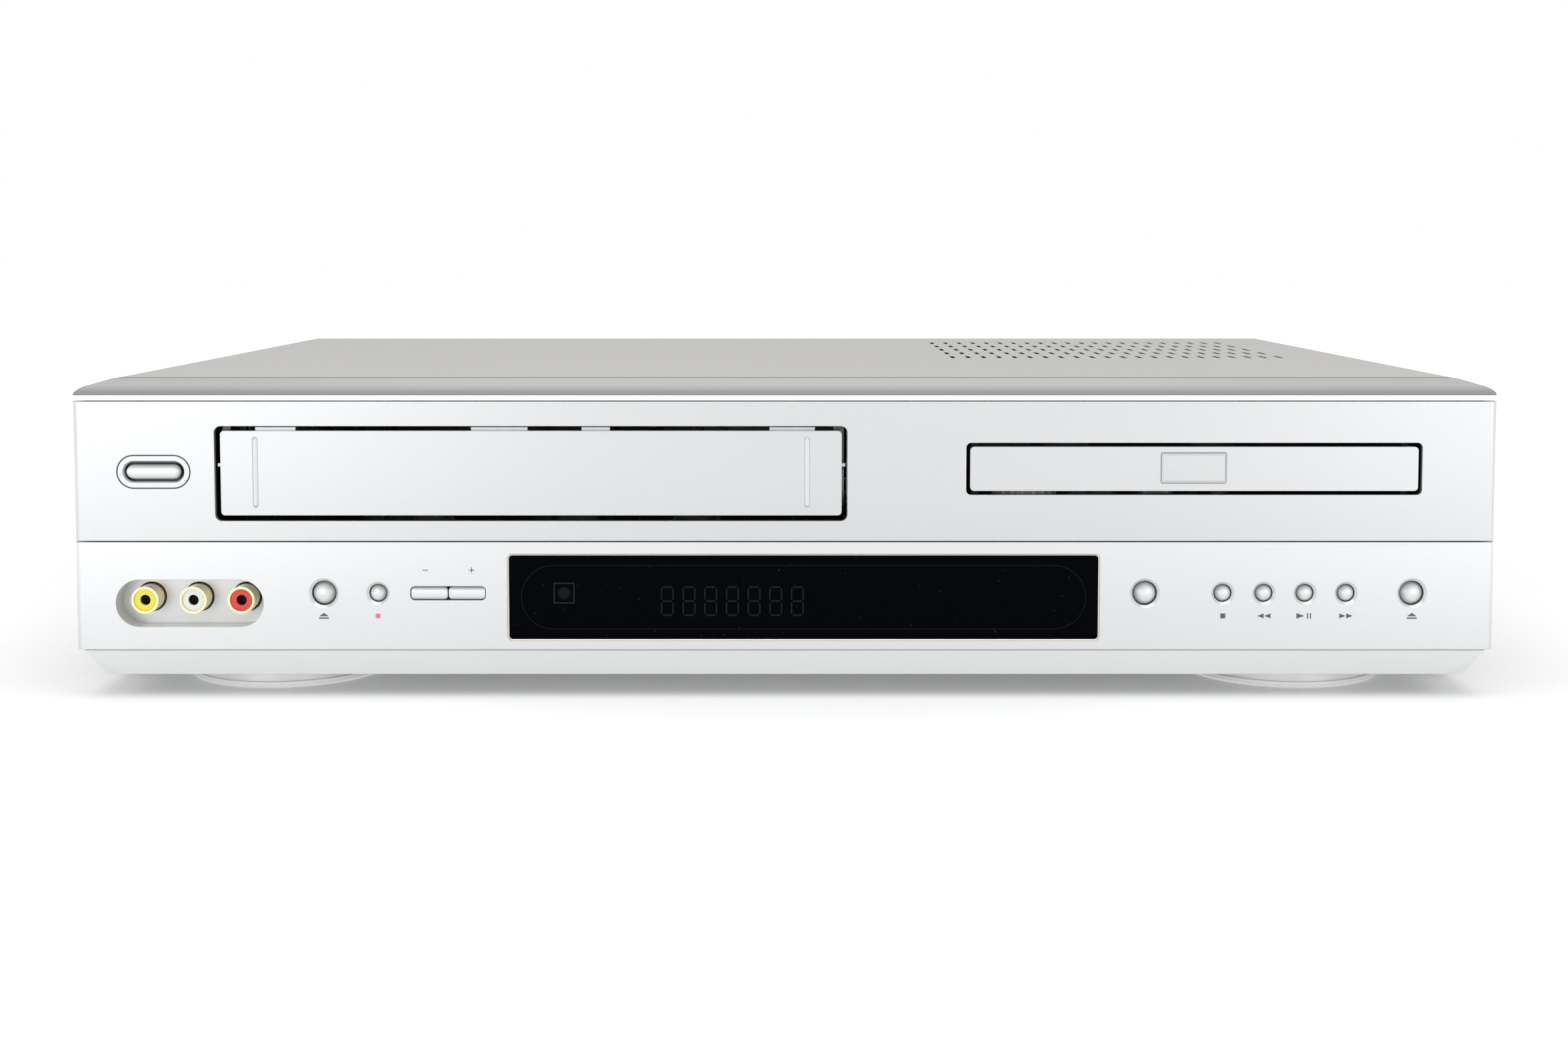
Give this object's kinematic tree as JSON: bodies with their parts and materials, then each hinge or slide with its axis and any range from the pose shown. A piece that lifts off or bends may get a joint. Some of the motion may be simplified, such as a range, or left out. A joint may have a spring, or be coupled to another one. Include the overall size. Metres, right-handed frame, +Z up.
{
  "type": "dvd vcr combo player",
  "caption": "Flat silver home video player with a flap for tape cassettes, a motor drawer for discs, a wide dark display, round front keys and phono sockets in a recess.",
  "frame": {"origin": "bottom centre, on the surface that the feet stand on", "axes": "+Z up, +X to the right as seen from the front, front facing -Y"},
  "size_m": [0.43, 0.31, 0.096],
  "materials": {
    "silver_paint": "fine metallic silver paint on moulded plastic",
    "cover_paint": "textured warm grey powder coat",
    "brow_paint": "grey painted moulding",
    "rim_white": "bright polished strip",
    "foot_silver": "silver painted plastic",
    "pad_rubber": "soft black rubber",
    "window_black": "polished dark smoked acrylic",
    "zinc_steel": "bright zinc-plated sheet",
    "machined_alloy": "fine turned aluminium",
    "ground_steel": "ground steel",
    "black_plastic": "fine-textured black moulding",
    "white_plastic": "natural acetal moulding",
    "roller_rubber": "ground black rubber",
    "circuit_board": "green solder resist on laminate",
    "tube_glass": "dark display tube",
    "gilt_metal": "gold-plated brass",
    "socket_colours": "coloured moulded insulator",
    "power_parts": "wound, sleeved and finned parts"
  },
  "bodies": {
    "cabinet": {"top_cover": "cover_paint", "bottom_chassis": "zinc_steel", "rear_panel": "zinc_steel", "front_frame": "black_plastic", "brow": "brow_paint", "fascia_rim": "rim_white", "upper_fascia": "silver_paint", "lower_fascia": "silver_paint", "plinth": "silver_paint", "display_window": "window_black", "feet": "foot_silver", "foot_pads": "pad_rubber", "case_screws": "zinc_steel", "front_boards": "circuit_board", "key_switches": "black_plastic", "display_tube": "tube_glass", "ir_receiver": "zinc_steel", "av_socket_shells": "gilt_metal", "av_socket_inserts": "socket_colours", "av_socket_block": "black_plastic", "circuit_boards": "circuit_board", "power_parts": "power_parts", "mains_inlet": "black_plastic", "rear_sockets": "black_plastic", "rf_module": "zinc_steel", "drive_motors": "zinc_steel", "loader_frame": "black_plastic", "traverse": "zinc_steel", "clamp_bridge": "zinc_steel", "deck_chassis": "zinc_steel", "lower_drum": "machined_alloy", "tape_heads": "machined_alloy"},
    "flap": {"cassette_door": "silver_paint"},
    "drawer": {"disc_tray": "black_plastic", "tray_front": "silver_paint"},
    "power_button": {"power_key": "silver_paint"},
    "eject_button": {"eject_key": "silver_paint"},
    "record_button": {"record_key": "silver_paint"},
    "channel_down_button": {"channel_down_key": "silver_paint"},
    "channel_up_button": {"channel_up_key": "silver_paint"},
    "source_button": {"source_key": "silver_paint"},
    "stop_button": {"stop_key": "silver_paint"},
    "rewind_button": {"rewind_key": "silver_paint"},
    "play_button": {"play_key": "silver_paint"},
    "forward_button": {"forward_key": "silver_paint"},
    "open_button": {"open_key": "silver_paint"},
    "drawer_pinion": {"tray_gear": "white_plastic"},
    "spindle": {"turntable": "white_plastic"},
    "laser": {"pickup": "black_plastic"},
    "clamp_puck": {"disc_clamp": "black_plastic"},
    "carriage": {"loading_carriage": "zinc_steel"},
    "holder": {"cassette_holder": "zinc_steel"},
    "head_drum": {"upper_drum": "machined_alloy"},
    "capstan_shaft": {"capstan": "ground_steel"},
    "pressure_arm": {"pinch_arm": "ground_steel"},
    "pressure_roller": {"pinch_roller": "roller_rubber"},
    "supply_table": {"supply_reel": "white_plastic"},
    "takeup_table": {"takeup_reel": "white_plastic"},
    "supply_post": {"supply_guide": "ground_steel"},
    "takeup_post": {"takeup_guide": "ground_steel"}
  },
  "joints": [
    {"name": "flap_hinge", "type": "hinge", "parent": "cabinet", "child": "flap", "pos_m": [-0.0766, -0.1495, 0.086], "axis": [1, 0, 0], "range_deg": [0, 90], "stiffness_Nm_per_rad": 0.006, "springref_deg": -34.38},
    {"name": "drawer_slide", "type": "slide", "parent": "cabinet", "child": "drawer", "axis": [0, -1, 0], "range_m": [0, 0.138]},
    {"name": "power_press", "type": "slide", "parent": "cabinet", "child": "power_button", "axis": [0, 1, 0], "range_m": [0, 0.0008], "stiffness_N_per_m": 500, "springref_m": -0.0005},
    {"name": "eject_press", "type": "slide", "parent": "cabinet", "child": "eject_button", "axis": [0, 1, 0], "range_m": [0, 0.0008], "stiffness_N_per_m": 500, "springref_m": -0.0005},
    {"name": "record_press", "type": "slide", "parent": "cabinet", "child": "record_button", "axis": [0, 1, 0], "range_m": [0, 0.0008], "stiffness_N_per_m": 500, "springref_m": -0.0005},
    {"name": "channel_down_press", "type": "slide", "parent": "cabinet", "child": "channel_down_button", "axis": [0, 1, 0], "range_m": [0, 0.0008], "stiffness_N_per_m": 500, "springref_m": -0.0005},
    {"name": "channel_up_press", "type": "slide", "parent": "cabinet", "child": "channel_up_button", "axis": [0, 1, 0], "range_m": [0, 0.0008], "stiffness_N_per_m": 500, "springref_m": -0.0005},
    {"name": "source_press", "type": "slide", "parent": "cabinet", "child": "source_button", "axis": [0, 1, 0], "range_m": [0, 0.0008], "stiffness_N_per_m": 500, "springref_m": -0.0005},
    {"name": "stop_press", "type": "slide", "parent": "cabinet", "child": "stop_button", "axis": [0, 1, 0], "range_m": [0, 0.0008], "stiffness_N_per_m": 500, "springref_m": -0.0005},
    {"name": "rewind_press", "type": "slide", "parent": "cabinet", "child": "rewind_button", "axis": [0, 1, 0], "range_m": [0, 0.0008], "stiffness_N_per_m": 500, "springref_m": -0.0005},
    {"name": "play_press", "type": "slide", "parent": "cabinet", "child": "play_button", "axis": [0, 1, 0], "range_m": [0, 0.0008], "stiffness_N_per_m": 500, "springref_m": -0.0005},
    {"name": "forward_press", "type": "slide", "parent": "cabinet", "child": "forward_button", "axis": [0, 1, 0], "range_m": [0, 0.0008], "stiffness_N_per_m": 500, "springref_m": -0.0005},
    {"name": "open_press", "type": "slide", "parent": "cabinet", "child": "open_button", "axis": [0, 1, 0], "range_m": [0, 0.0008], "stiffness_N_per_m": 500, "springref_m": -0.0005},
    {"name": "pinion_spin", "type": "hinge", "parent": "cabinet", "child": "drawer_pinion", "pos_m": [0.0741, -0.139, 0.056], "axis": [0, 0, 1], "range_deg": [-900, 900]},
    {"name": "spindle_spin", "type": "hinge", "parent": "cabinet", "child": "spindle", "pos_m": [0.1236, -0.083, 0.06], "axis": [0, 0, 1], "continuous": true},
    {"name": "laser_slide", "type": "slide", "parent": "cabinet", "child": "laser", "axis": [0, 1, 0], "range_m": [0, 0.034]},
    {"name": "clamp_spin", "type": "hinge", "parent": "cabinet", "child": "clamp_puck", "pos_m": [0.1236, -0.083, 0.076], "axis": [0, 0, 1], "continuous": true},
    {"name": "carriage_slide", "type": "slide", "parent": "cabinet", "child": "carriage", "axis": [0, -1, 0], "range_m": [-0.057, 0]},
    {"name": "holder_drop", "type": "slide", "parent": "carriage", "child": "holder", "axis": [0, 0, 1], "range_m": [-0.018, 0]},
    {"name": "drum_spin", "type": "hinge", "parent": "cabinet", "child": "head_drum", "pos_m": [-0.0806, 0.026, 0.026], "axis": [0.0872, 0, 0.9962], "continuous": true},
    {"name": "capstan_spin", "type": "hinge", "parent": "cabinet", "child": "capstan_shaft", "pos_m": [-0.0146, -0.026, 0.026], "axis": [0, 0, 1], "continuous": true},
    {"name": "arm_swing", "type": "hinge", "parent": "cabinet", "child": "pressure_arm", "pos_m": [0.0034, -0.004, 0.03], "axis": [0, 0, 1], "range_deg": [0, 40]},
    {"name": "roller_spin", "type": "hinge", "parent": "pressure_arm", "child": "pressure_roller", "pos_m": [-0.01809, -0.00475, 0.044], "axis": [0, 0, 1], "continuous": true},
    {"name": "supply_spin", "type": "hinge", "parent": "cabinet", "child": "supply_table", "pos_m": [-0.1226, -0.068, 0.03], "axis": [0, 0, 1], "continuous": true},
    {"name": "takeup_spin", "type": "hinge", "parent": "cabinet", "child": "takeup_table", "pos_m": [-0.0306, -0.068, 0.03], "axis": [0, 0, 1], "continuous": true},
    {"name": "supply_thread", "type": "slide", "parent": "cabinet", "child": "supply_post", "axis": [-0.225, 0.9744, 0], "range_m": [0, 0.048]},
    {"name": "takeup_thread", "type": "slide", "parent": "cabinet", "child": "takeup_post", "axis": [0.225, 0.9744, 0], "range_m": [0, 0.048]}
  ],
  "couplings": [
    {"joint": "pinion_spin", "follows": "drawer_slide", "rad_per_m": -111.11},
    {"joint": "takeup_thread", "follows": "supply_thread", "ratio": 1}
  ]
}
